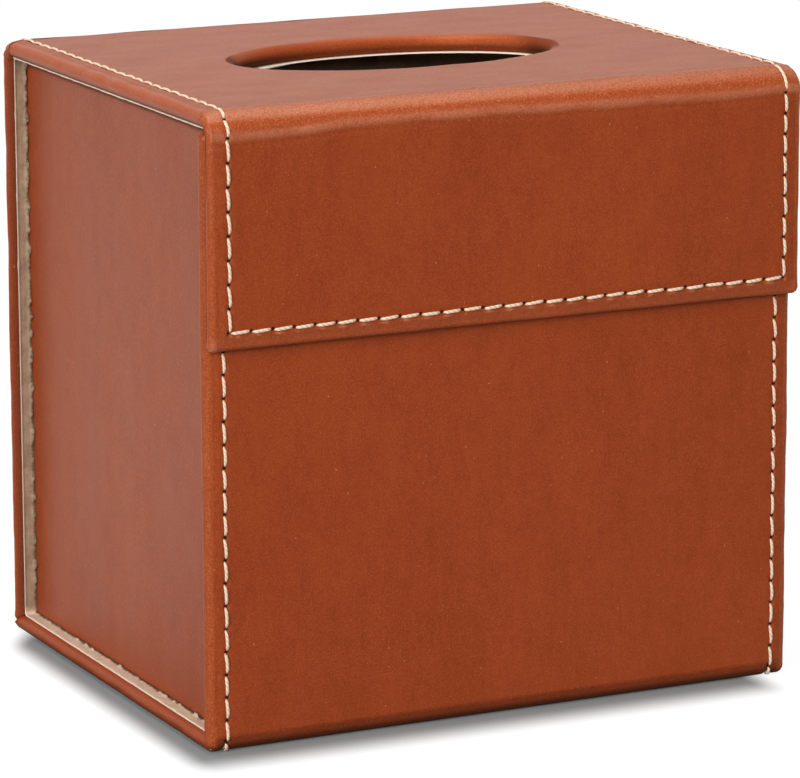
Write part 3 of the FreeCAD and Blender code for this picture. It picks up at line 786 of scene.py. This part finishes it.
def with_oval(plan, rings):
    """Opens an oval in a plan. A rectangle of cells comes out, and rings of points lead from its border
    to the oval and on round the rim. rings are (share of the way, grow, depth, step), where the share
    is 1 from the oval's own edge on. Returns u, s, depth, step, the cells and how many points are the
    plan's own."""
    u, s, depth, step = plan.flat()
    rows, cols = plan.shape
    grid_u, grid_s = plan.u[rows // 2], plan.s[:, cols // 2]
    inside_u = np.flatnonzero(np.abs(grid_u) < OVAL_FIELD[0])
    inside_s = np.flatnonzero(np.abs(grid_s - LID_BACK) < OVAL_FIELD[1])
    left, right, low, high = inside_u[0], inside_u[-1], inside_s[0], inside_s[-1]
    cell_row, cell_col = np.divmod(np.arange(len(plan.quads)), cols - 1)
    out = (cell_row >= low) & (cell_row < high) & (cell_col >= left) & (cell_col < right)
    loop = np.concatenate([
        low * cols + np.arange(left, right), np.arange(low, high) * cols + right,
        high * cols + np.arange(right, left, -1), np.arange(high, low, -1) * cols + left,
    ])
    from_centre = np.stack([u[loop], s[loop] - LID_BACK], 1)
    angle = np.arctan2(from_centre[:, 1] / OVAL[1], from_centre[:, 0] / OVAL[0])
    new_u, new_s, new_depth, new_step = [u], [s], [depth], [step]
    for share, grow, deep, turn in rings:
        mixed = from_centre * (1 - share) + oval_place(angle, grow) * share
        new_u.append(mixed[:, 0])
        new_s.append(mixed[:, 1] + LID_BACK)
        new_depth.append(np.full(len(angle), deep))
        new_step.append(np.full(len(angle), turn))
    count = len(loop)
    rims = np.concatenate([loop, len(u) + np.arange(count * len(rings))])
    ring_cells = rims[grid_quads(len(rings) + 1, count, across=True)]
    quads = np.concatenate([plan.quads[~out], ring_cells])
    return [np.concatenate(a) for a in (new_u, new_s, new_depth, new_step)] + [quads, len(u)]


def rim_rings(count, roll, thick):
    """Rings that lead over the flat to the oval's roll, round it and down to the underside."""
    rings = [(k / count, roll, 0.0, 0.0) for k in range(1, count + 1)]
    for turn in np.linspace(0, TURN, 9)[1:]:
        rings.append((1.0, roll * (1 - np.sin(turn)), roll * (1 - np.cos(turn)), 1 + turn / TURN))
    for turn in (0.0, 0.5, 1.0):
        rings.append((1.0, 0.6 * turn, thick - 0.6 + 0.6 * turn, 3 + turn))
    rings.append((1.0, 3.0, thick, 5.0))
    return rings


LID_END, FLAP_START = lid_run[1], flap_run[0]
lid_rows = spaced(0, FLAP_START - 9, 0.62)[:-1]
lid_rows = np.concatenate([lid_rows, spaced(FLAP_START - 9, flap_run[1] - CORNER, 0.5)])
lid_plan = Plan(band_columns(), lid_rows, lid_thick, lid_roll, ends=(False, True))
u, s, depth, step, quads, plain = with_oval(lid_plan, rim_rings(9, OVAL_ROLL, SHELL))
points = lay_lid(u, s, -depth)
on_oval = np.arange(len(u)) >= plain
quads = facing(points, quads, outward_of(lay_lid, u, s) * ((step < 1) & ~on_oval)[:, None])
fold_share = ease(s, LID_END - 1.4, LID_END + 0.6) * (1 - 0.75 * ease(s, LID_END + 3.5, FLAP_START - 1.5))
fold_share *= fade(s, FLAP_START - 1, FLAP_START + 3)
facts = band_facts(u, s, step, (left_seam, right_seam), FOOT_SEAM, fold_share)
facts["seam"][on_oval, 0] = -AWAY
off_foot = (np.abs(u) > SEAM + 0.6) | (s < FLAP_START) | (step > 2)
facts["foot"][:, 0] = np.where(off_foot, np.where(s < FOOT_SEAM, -AWAY, AWAY), facts["foot"][:, 0])
past_foot = s > FOOT_SEAM + 0.6
facts["seam"][:, 0] = np.where(past_foot, np.where(np.abs(u) < SEAM, -AWAY, AWAY), facts["seam"][:, 0])
bend = ease(s, LID_END - 1.5, LID_END + 0.8) * fade(s, FLAP_START - 3, FLAP_START + 1.5)
facts["wear"] = np.maximum(facts["wear"], bend * (step < 2))
height = band_height(u, s, step, facts, 31, FOOT_SEAM + 0.3)
crease = FLAP_START + np.interp(u, (-70, -25, 50, 76), (1.0, -0.4, 0.6, 0.4)) + 0.2 * ripples(u, 0 * u, 14, 5)
ridge = ease(s, crease - 2.5, crease - 1.5) * fade(s, crease - 0.9, crease + 0.5)
height += (0.10 * ridge - 0.10 * hump(s - crease - 0.6, 0.6)) * (step < 1.5)
# Painted highlights on the front fold: a band just below the top's edge, weaker to the right, and one along
# the ridge.
painted_fold_highlight = ease(s, LID_END + 0.2, LID_END + 3.0) * fade(s, LID_END + 4.2, LID_END + 5.8)
painted_fold_highlight *= np.interp(u, (-76, -30, 30, 76), (1.0, 1.0, 0.75, 0.45))
facts["pale"] += (0.8 * painted_fold_highlight + ridge * (0.5 + 0.12 * ripples(u, s, 6, 9))) * (step < 1.5)
# Painted sheen: paler blotches over the top face, up to the fold.
painted_top_sheen = np.clip(0.10 + 0.07 * ripples(u, s * 2.5, 12, 15), 0, 1) * fade(s, LID_END - 4, LID_END)
facts["pale"] += painted_top_sheen * fade(step, 0.6, 1.6)
# Painted light on the rim below the flap's foot seam.
facts["pale"] += 0.11 * ease(s, FOOT_SEAM + 0.7, FOOT_SEAM + 1.4) * fade(step, 1.0, 1.8)
on_lid = fade(s, LID_END - 2, LID_END)
facts["glow"] += 0.9 * hump(step - 1.7, 0.7) * on_lid
facts["glow"] += 0.7 * hump(s - crease + 3.4, 0.8) * fade(step, 0.6, 1.6)
# Painted reflection along the lower side of the lid's turned edge.
facts["pale"] += 0.45 * hump(step - 2.8, 0.3) * on_lid
nub = hump(np.hypot(np.abs(u) - EDGE + 0.7, s - flap_run[1] + 0.7), 1.2) * ease(step, 0.2, 1)
nub[plain:] = 0
height += 0.5 * nub * np.where(u < 0, 1, 0.6)
# Painted highlight on the nub at the flap's left corner.
facts["pale"] += 0.5 * nub * (u < 0)
# Painted shade round the oval's roll, deeper down it and at its tips, and painted highlights along the far
# rim's top edge.
painted_tip_shade = 0.55 * ease(-u, 35, 40) + 0.35 * ease(u, 37, 40.5)
painted_rim_shade = ease(depth, 0.5, 2.4) * (0.38 + 0.35 * ease(-u, 5, 40))
painted_rim_shade += (painted_tip_shade + 0.17) * ease(step, 0.2, 0.9)
painted_rim_highlight = hump(step - 1.0, 0.28) * ease(u, -24, 12) * fade(u, 30, 40) * (s < LID_BACK)
painted_rim_highlight += 0.55 * hump(step - 1.6, 0.25) * hump(u - 25, 7) * (s < LID_BACK)
facts["pale"] = np.where(on_oval & (step > 0), 0.85 * painted_rim_highlight - painted_rim_shade, facts["pale"])
facts["glow"] = np.where(on_oval, 1.2 * ease(step, 0.3, 1.1), facts["glow"])
facts["wear"][on_oval] *= 0.25
wrinkle = ripples(u * 0.35, s * 1.6, 2.6, 71) * 0.05 + ripples(u * 0.5, s * 1.3, 1.4, 72) * 0.025
height += wrinkle * fold_share * (step < 2)
gathers = hump(s - FLAP_START - 1, 9) * ease(step, 0.9, 1.3) * fade(step, 2.6, 3.6)
height += 0.14 * gathers * np.cos(2 * np.pi * (1.6 * step + 0.10 * ripples(s, u, 6, 77)))
height[:plain] -= 0.22 * lid_plan.pleat
facts["wear"] *= np.where(s > FOOT_SEAM + 1.5, 0.45, 1.0)
points = raised(points, quads, height)
lid_cover = piece("lid_cover", points, quads, leather, facts)
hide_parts("lid_leather", "flap_hinge_leather", "flap_leather")
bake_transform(lid_cover)

# ----------------------------------------------------------------------------------- the side panels

for side, word in ((-1, "left"), (1, "right")):
    lay = lay_side(side)
    across, along = (spaced(side_low[k] + CORNER, side_high[k] - CORNER, 0.75) for k in (1, 2))
    plan = Plan(across, along, SHELL, 0.5)
    u, s, depth, step = plan.flat()
    points = lay(u, s, -depth)
    quads = facing(points, plan.quads, np.array([side, 0, 0]) * (step < 1)[:, None])
    away, none = np.full_like(u, AWAY), np.zeros_like(u)
    unsewn = np.stack([away, none, away], 1)
    facts = {"seam": unsewn, "foot": unsewn, "wear": none, "fold": none, "glow": none}
    # Painted shade along the side panel's top, under the lid.
    facts["pale"] = -0.7 * ease(s, side_high[2] - 2.2, side_high[2] - 0.8)
    height = ripples(u, s, 22, 50 + side) * 0.10 + ripples(u, s, 7, 60 + side) * 0.02
    dents = np.clip(ripples(u, s, 2.0, 64 + side) - 0.4, 0, 1.2) * ease(step, 1.2, 1.9)
    height -= 0.30 * dents * (s < side_high[2] - 8)
    points = raised(points, quads, height * fade(step, 3.5, 4.5))
    cover = piece(f"{word}_side_cover", points, quads, leather, facts)
    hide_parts(f"{word}_side_leather")
    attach(cover, "case")

# --------------------------------------------------------------------------------------- the linings


def lining_piece(name, lay, parts, seed, replaced, rough=0.12, tufts=0.0, sag=0.0, edge=LINED):
    """A suede sheet. Its face lies one lining's thickness proud of the turned leather. tufts is the
    height of the nap that is squeezed up beside the side panels."""
    u, s, depth, step, quads = parts
    points = lay(u, s, -depth)
    quads = facing(points, quads, outward_of(lay, u, s) * (step < 1)[:, None])
    nap = ripples(u, s, 1.6, seed) * 0.3 + ripples(u, s, 4.0, seed + 1) * 0.7
    # Painted shade: a dark line just inside the sheet's long edges, above the base, carried by cut below 0.
    painted_groove_shade = hump(np.abs(u) - edge + 0.4, 0.22) * (step < 1.1) * (points[:, 2] > IN + 2)
    squeezed = hump(np.abs(u) - SIDE_FACE - 0.25, 0.34)
    squeezed = squeezed * np.clip(0.25 + ripples(s, u, 1.9, seed + 2), 0, 1.6)
    height = (nap * rough + tufts * squeezed + sag) * fade(step, 2, 3)
    points = raised(points, quads, height)
    cut = ease(step, 1.0, 1.6) - 0.5 * painted_groove_shade
    made = piece(name, points, quads, suede, {"cut": cut})
    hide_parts(*replaced)
    return made


def sheet_plan(edge, rows, ends, thick=LINING):
    """A thin sheet's plan, close-meshed along its two long edges."""
    near = spaced(edge - 5.0, edge - 0.4, 0.3)
    across = np.concatenate([-near[::-1], spaced(-near[0], near[0], 7)[1:-1], near])
    return Plan(across, rows, thick, 0.4 * thick, corner=0.4, ends=ends)


THIN, LID_LINED = 0.3, EDGE - 1.0
LID_UNDER, FLAP_UNDER = TOP - SHELL - THIN - 0.1, FLAP_FACE + FLAP_SHELL + THIN
inner_course = Course(
    [(FRONT + IN, case_lining_high[2]), (FRONT + IN, IN), (BACK - IN, IN), (BACK - IN, BACK_TOP)],
    [0.6, 0.6],
)
inner_back = Course([(BACK - IN, BACK_TOP), (BACK - IN, TOP - IN), (LID_BACK, TOP - IN)], [BACK_FOLD - IN])
under_lid = Course(
    [(LID_BACK, LID_UNDER), (FLAP_UNDER, LID_UNDER), (FLAP_UNDER, flap_lining_low[2])],
    [1.6],
)


def behind(course):
    """Lays plan places on the inner side of a band: the height counts inwards."""
    lay = on_course(course)
    return lambda u, s, height: lay(u, s, -height)


plan = sheet_plan(LINED, spaced(2.2, inner_course.places[-1], 0.6), (True, False))
tuft_height = 0.45 + 0.75 * (plan.s.ravel() > inner_course.knots[2][0])
lining = lining_piece(
    "case_suede", behind(inner_course), (*plan.flat(), plan.quads), 81, ("case_lining",), tufts=tuft_height
)
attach(lining, "case")
plan = sheet_plan(LINED, spaced(0, inner_back.places[-1], 0.12), (False, False))
lining = lining_piece(
    "back_fold_suede", behind(inner_back), (*plan.flat(), plan.quads), 85, ("lid_hinge_lining",), 0.03
)
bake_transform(lining)

plan = sheet_plan(LID_LINED, spaced(0, under_lid.places[-1] - 0.4, 0.9), (False, True), THIN)
LIP = 0.8  # how far the lining reaches into the oval
lip_rings = [(k / 6, 0.15 - LIP, 0.0, 0.0) for k in range(1, 7)]
lip_rings += [(1.0, -LIP, 0.1, 2.0), (1.0, -LIP, THIN - 0.1, 2.5)]
lip_rings += [(1.0, -0.7, THIN, 3.0), (1.0, 3.0, THIN, 5.0)]
*sheet, _ = with_oval(plan, lip_rings)
u, s = sheet[:2]
sag = 0.9 * ease(-u, 14, 37) * (np.hypot(u / (OVAL[0] - LIP), (s - LID_BACK) / (OVAL[1] - LIP)) < 1.01)
lining = lining_piece(
    "lid_suede", behind(under_lid), sheet, 91, ("lid_lining", "flap_hinge_lining", "flap_lining"),
    0.05, sag=sag, edge=LID_LINED,
)
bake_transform(lining)

for side, word in ((-1, "left"), (1, "right")):
    across, along = (spaced(side_lining_low[k] + 0.4, side_lining_high[k] - 0.4, 2) for k in (1, 2))
    plan = Plan(across, along, LINING, 0.2, corner=0.4)
    sheet, lay = (*plan.flat(), plan.quads), lay_side(side, SIDE_FACE - IN, -1)
    lining = lining_piece(f"{word}_side_suede", lay, sheet, 95 + side, (f"{word}_side_lining",), 0.04)
    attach(lining, "case")

# -------------------------------------------------------------------------------------- the stitches

RINGS, ROUND = 9, 6  # rings of a thread, and points of a ring
LEAN = {"along": 0.07, "across": -0.07}
ON_FACE = 0.04 - PROUD


def sunk(s):
    """How deep the case's threads lie: those of the base are flush with it."""
    under = ease(s, *base_fold) * fade(s, *heel_fold)
    return ON_FACE + (SUNK + PROUD) * under


def stitches(name, lay, places, replaced, sink=lambda s: ON_FACE):
    """Threads that rise out of one needle hole and go down into the next. places are (u, s, way,
    length) of their middles, where the way says how they run. A thread's section is a ring whose
    width follows (1 - t to the 4th) to the half, and its height an arch over the seam's channel."""
    draw = np.random.default_rng(len(places))
    t = np.linspace(-1, 1, RINGS)
    around = np.arange(ROUND) / ROUND * 2 * np.pi
    wide = THREAD * np.sqrt(np.clip(1.06 - t**4, 0.06, 1))
    along = np.repeat(t[:, None] / 2, ROUND, 1)
    across = wide[:, None] * np.cos(around)[None, :]
    arch = 0.22 * (1 - np.abs(t) ** 3.2) - 0.30 * np.abs(t) ** 6
    rise = arch[:, None] + wide[:, None] * 0.66 * np.sin(around)[None, :]
    cells = grid_quads(RINGS, ROUND, across=True)
    cap = np.array([[0, 1, 2, 3], [0, 3, 4, 5]])
    cells = np.concatenate([cells, cap[:, ::-1], cap + (RINGS - 1) * ROUND])
    count = len(along.ravel())
    all_u, all_s, all_h, facts, quads = [], [], [], [], []
    for k, (u, s, way, pitch) in enumerate(places):
        stretch, lift = (pitch - GAP) * (1 + draw.normal(0, 0.02)), draw.normal(0, 0.03)
        lean = LEAN[way] + draw.normal(0, 0.025)
        shift = draw.normal(0, 0.06)
        a = along * stretch * np.cos(lean) - across * np.sin(lean)
        b = along * stretch * np.sin(lean) + across * np.cos(lean) + shift
        if way == "along":
            b = b + 0.13 * (0.6 - (2 * along) ** 2)
            all_u.append(u + b)
            all_s.append(s + a)
        else:
            all_u.append(u + a)
            all_s.append(s + b)
        all_h.append(rise + lift - sink(s))
        turn = np.repeat(around[None, :] / (2 * np.pi), RINGS, 0)
        end = np.repeat(np.abs(t)[:, None], ROUND, 1)
        facts.append(np.stack([along * stretch, turn, end], -1).reshape(-1, 3))
        quads.append(cells + k * count)
    u, s, h = (np.concatenate([a.ravel() for a in part]) for part in (all_u, all_s, all_h))
    points = lay(u, s, h)
    quads = np.concatenate(quads)
    quads = facing(points, quads, points - points.reshape(-1, count, 3).mean(1).repeat(count, 0))
    made = piece(name, points, quads, thread, {"lay": np.concatenate(facts)})
    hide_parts(*replaced)
    return made


def row(seam, low, high, side):
    """The stitches of a side seam whose middles lie between two distances."""
    return [(side * SEAM, m, "along", seam.pitch(m)) for m in seam.middles() if low <= m < high]


case_rows = [stitch for side in (-1, 1) for stitch in row(front_seam, 0, case_back[1], side)]
threads = stitches(
    "case_thread", lay_case, case_rows, ("front_stitching", "base_stitching", "back_stitching"), sunk
)
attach(threads, "case")
fold_rows = [stitch for side in (-1, 1) for stitch in row(front_seam, case_back[1], ALL, side)]
threads = stitches("back_fold_thread", lay_case, fold_rows, ("lid_hinge_stitching",))
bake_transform(threads)
lid_rows = row(left_seam, 0, ALL, -1) + row(right_seam, 0, ALL, 1)
lid_rows += [(m, FOOT_SEAM, "across", foot_seam.pitch(m)) for m in foot_seam.middles()]
threads = stitches(
    "lid_thread", lay_lid, lid_rows, ("lid_stitching", "flap_hinge_stitching", "flap_stitching")
)
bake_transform(threads)

# --------------------------------------------------------------------------------- what stays of the CAD

for node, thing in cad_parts.items():
    if node.endswith("_board") or node in ("catch_plates", "flap_magnets"):
        thing.data.materials.clear()
        thing.data.materials.append(board if node.endswith("_board") else steel)

# ----------------------------------------------------------------------------------- floor and light


def stage_finish(name, colour, near, far, gloss_front, gloss_back):
    """A stage surface: plain to light, with extra brightness for the camera, which grows with the
    distance from the object's foot and so paints a shadow round it, and for reflections, which grows
    towards the back and is held down in the same painted shadow."""
    f = Finish(name, Roughness=1.0, Specular_IOR_Level=0.0)
    f.shader.inputs["Base Color"].default_value = colour
    ray = f.add("ShaderNodeLightPath")
    camera, gloss = Wire(f, ray.outputs["Is Camera Ray"]), Wire(f, ray.outputs["Is Glossy Ray"])
    x, y, _ = f.axes()
    # Painted shadow: its reach beside the object's left, right and front, and where it fades left of the
    # heel.
    left_gap = -EDGE - x
    by_left = f.smooth(left_gap, 10.0, 1.6)
    by_right = f.smooth(x - EDGE, -3.4, -12.0)
    by_front = f.smooth(f.maths("ABSOLUTE", y) - BACK, 13.0, -2.5)
    by_heel = f.smooth(y - BACK + f.maths("MAXIMUM", left_gap, 0.0) * 1.3, -14.0, -2.0)
    by_heel = by_heel * f.smooth(left_gap, -8.0, 0.0)
    # away is 0 in the painted shadow and 1 clear of it.
    away = 1.0 - by_left * by_right * by_front * (1.0 - by_heel)
    backwards = f.smooth(y, -250.0, 250.0)
    shine = (gloss_front + backwards * (gloss_back - gloss_front)) * away
    tint = f.blend(gloss, (1, 1, 1, 1), (1.0, 0.99, 0.88, 1))
    bright = camera * (near + away * (far - near)) + gloss * shine
    return f.finish(Emission_Color=tint, Emission_Strength=bright)


# A dark floor colour, so that the painted shadow shows dark where the camera brightness is held down.
floor_finish = stage_finish("pale_floor", (0.27, 0.285, 0.288, 1), 0.055, 0.85, 0.2, 1.0)
wall_finish = stage_finish("pale_backdrop", (0.8, 0.8, 0.8, 1), 1.0, 1.0, 0.5, 0.7)

FLOOR_REACH, WALL_REACH, WALL_HEIGHT, WALL_POSTS = 6000.0, 2600.0, 2400.0, 64
corners = np.array([[-1, -1], [1, -1], [1, 1], [-1, 1]]) * FLOOR_REACH
floor_mesh = bpy.data.meshes.new("floor")
floor_mesh.from_pydata(np.column_stack([corners * MM, np.full(4, -0.0002)]).tolist(), [], [(0, 1, 2, 3)])
floor_mesh.materials.append(floor_finish)
floor = shown("floor", floor_mesh)
angles = np.radians(np.linspace(-15, 195, WALL_POSTS))
plan = WALL_REACH * np.stack([np.cos(angles), np.sin(angles)], 1)
wall = np.stack([np.column_stack([plan, np.full(WALL_POSTS, z)]) for z in (0, WALL_HEIGHT)])
wall_mesh = bpy.data.meshes.new("backdrop")
wall_mesh.from_pydata((wall.reshape(-1, 3) * MM).tolist(), [], grid_quads(2, WALL_POSTS).tolist())
wall_mesh.materials.append(wall_finish)
backdrop = shown("backdrop", wall_mesh)

world = bpy.data.worlds.new("studio")
bpy.context.scene.world = world
world.use_nodes = True
links, nodes = world.node_tree.links, world.node_tree.nodes
background = nodes["Background"]
background.inputs["Color"].default_value = (1, 1, 1, 1)
ray = nodes.new("ShaderNodeLightPath")
seen = nodes.new("ShaderNodeMath")
seen.operation = "MULTIPLY_ADD"
links.new(ray.outputs["Is Glossy Ray"], seen.inputs[0])
seen.inputs[1].default_value, seen.inputs[2].default_value = 0.7, 0.15
level = nodes.new("ShaderNodeMath")
level.operation = "MAXIMUM"
links.new(ray.outputs["Is Camera Ray"], level.inputs[0])
links.new(seen.outputs[0], level.inputs[1])
links.new(level.outputs[0], background.inputs["Strength"])


def softbox(name, place, target, width, height, power):
    """A plain rectangular lamp that faces a target. Places are in metres."""
    lamp = bpy.data.lights.new(name, "AREA")
    lamp.shape, lamp.size, lamp.size_y, lamp.energy = "RECTANGLE", width, height, power
    made = shown(name, lamp)
    made.location = place
    way = np.array(target) - np.array(place)
    made.rotation_euler = Vector(way).to_track_quat("-Z", "Y").to_euler()


softbox("overhead", (0.05, 0.15, 1.70), (0, 0, 0.05), 0.9, 0.6, 11)
softbox("left_fill", (-1.70, -1.10, 0.90), (0, 0, 0.07), 1.0, 1.0, 33)
softbox("front_fill", (-0.30, -2.20, 0.95), (0, 0, 0.07), 1.2, 0.8, 19.5)

bpy.context.scene.view_settings.view_transform = "Standard"

camera = bpy.data.cameras.new("camera")
camera.lens, camera.sensor_width = 217.3, 36
camera.clip_start, camera.clip_end = 0.05, 30
viewer = shown("camera", camera)
viewer.location = (-0.4965, -1.0315, 0.3227)
viewer.rotation_euler = Euler(np.radians([90 - 12.63, 0.155, -25.80]), "XYZ")
bpy.context.scene.camera = viewer
